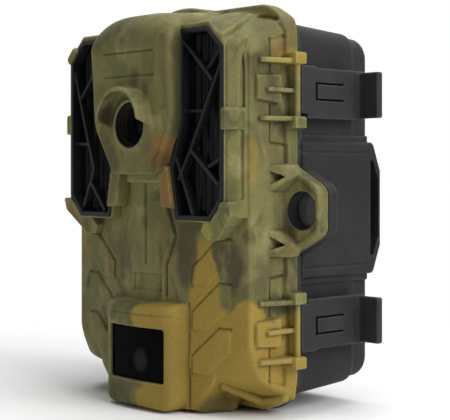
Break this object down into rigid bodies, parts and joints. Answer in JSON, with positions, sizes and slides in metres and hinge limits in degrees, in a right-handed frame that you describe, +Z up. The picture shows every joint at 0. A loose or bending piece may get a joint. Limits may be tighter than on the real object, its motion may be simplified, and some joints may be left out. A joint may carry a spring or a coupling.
{
  "type": "trail camera",
  "caption": "Weatherproof wildlife camera: camouflage front door with lens, lamp panels and motion sensor, hinged and latched to a rear case with strap ears and a tripod socket.",
  "frame": {"origin": "middle of the tripod socket's mouth, on the base", "axes": "+Z up along the camera, -Y the way the lens looks, +X to the latch side"},
  "size_m": [0.1097, 0.076, 0.1318],
  "materials": {
    "rear_plastic": "fine grained black moulding",
    "seal_rubber": "soft black gasket",
    "battery_plastic": "black moulding",
    "cell_wrap": "plain cell wrap over steel",
    "contact_steel": "plated steel",
    "insert_brass": "turned brass",
    "cover_camo": "camouflage print on olive plastic",
    "lens_glass": "coated glass",
    "lens_black": "black anodised look",
    "circuit_board": "green lacquered board",
    "lamp_filter": "dark filter window",
    "grille_black": "black moulding",
    "lamp_clear": "clear lamp body",
    "sensor_filter": "dark sensor window",
    "panel_plastic": "grained black moulding",
    "screen_dark": "dark display",
    "screen_glass": "clear window",
    "latch_plastic": "fine grained black moulding",
    "button_plastic": "grey keys",
    "card_plastic": "dark blue plastic",
    "filter_glass": "tinted filter"
  },
  "bodies": {
    "rear_housing": {"rear_back": "rear_plastic", "rear_left": "rear_plastic", "rear_right": "rear_plastic", "rear_top": "rear_plastic", "rear_base": "rear_plastic", "strap_bracket_left": "rear_plastic", "strap_bracket_right": "rear_plastic", "door_seal": "seal_rubber", "battery_tray": "battery_plastic", "battery_cells": "cell_wrap", "battery_contacts": "contact_steel", "tripod_insert": "insert_brass", "hinge_pins": "contact_steel"},
    "front_door": {"front_shell": "cover_camo", "side_rail_left": "cover_camo", "side_rail_right": "cover_camo", "lens_window": "lens_glass", "lens_barrel": "lens_black", "lens_elements": "lens_glass", "lens_holder": "lens_black", "image_sensor": "lens_black", "main_board": "circuit_board", "lamp_window_left": "lamp_filter", "lamp_window_right": "lamp_filter", "lamp_grille_left": "grille_black", "lamp_grille_right": "grille_black", "lamp_board_left": "circuit_board", "lamp_board_right": "circuit_board", "lamps_left": "lamp_clear", "lamps_right": "lamp_clear", "sensor_window": "sensor_filter", "sensor_holder": "lens_black", "motion_sensor": "contact_steel", "inner_panel": "panel_plastic", "screen": "screen_dark", "screen_window": "screen_glass", "key_switches": "contact_steel", "slide_switch_body": "contact_steel", "card_socket": "contact_steel", "data_socket": "contact_steel", "panel_screws": "contact_steel", "latch_pins": "contact_steel"},
    "latch_upper": {"latch_upper": "latch_plastic"},
    "latch_lower": {"latch_lower": "latch_plastic"},
    "button_menu": {"button_menu": "button_plastic"},
    "button_up": {"button_up": "button_plastic"},
    "button_down": {"button_down": "button_plastic"},
    "button_ok": {"button_ok": "button_plastic"},
    "power_switch": {"power_switch": "button_plastic"},
    "memory_card": {"memory_card": "card_plastic"},
    "ir_filter": {"ir_filter": "filter_glass"}
  },
  "joints": [
    {"name": "door_hinge", "type": "hinge", "parent": "rear_housing", "child": "front_door", "pos_m": [-0.048, -0.0194, 0.0665], "axis": [0, 0, -1], "range_deg": [0, 110]},
    {"name": "latch_upper_pivot", "type": "hinge", "parent": "front_door", "child": "latch_upper", "pos_m": [0.048, -0.0194, 0.1042], "axis": [0, 0, -1], "range_deg": [0, 95]},
    {"name": "latch_lower_pivot", "type": "hinge", "parent": "front_door", "child": "latch_lower", "pos_m": [0.048, -0.0194, 0.0288], "axis": [0, 0, -1], "range_deg": [0, 95]},
    {"name": "button_menu_press", "type": "slide", "parent": "front_door", "child": "button_menu", "axis": [0, -1, 0], "range_m": [0, 0.0008], "stiffness_N_per_m": 400},
    {"name": "button_up_press", "type": "slide", "parent": "front_door", "child": "button_up", "axis": [0, -1, 0], "range_m": [0, 0.0008], "stiffness_N_per_m": 400},
    {"name": "button_down_press", "type": "slide", "parent": "front_door", "child": "button_down", "axis": [0, -1, 0], "range_m": [0, 0.0008], "stiffness_N_per_m": 400},
    {"name": "button_ok_press", "type": "slide", "parent": "front_door", "child": "button_ok", "axis": [0, -1, 0], "range_m": [0, 0.0008], "stiffness_N_per_m": 400},
    {"name": "power_switch_slide", "type": "slide", "parent": "front_door", "child": "power_switch", "axis": [1, 0, 0], "range_m": [0, 0.005]},
    {"name": "memory_card_slide", "type": "slide", "parent": "front_door", "child": "memory_card", "axis": [1, 0, 0], "range_m": [0, 0.014]},
    {"name": "ir_filter_slide", "type": "slide", "parent": "front_door", "child": "ir_filter", "axis": [1, 0, 0], "range_m": [0, 0.008]}
  ]
}
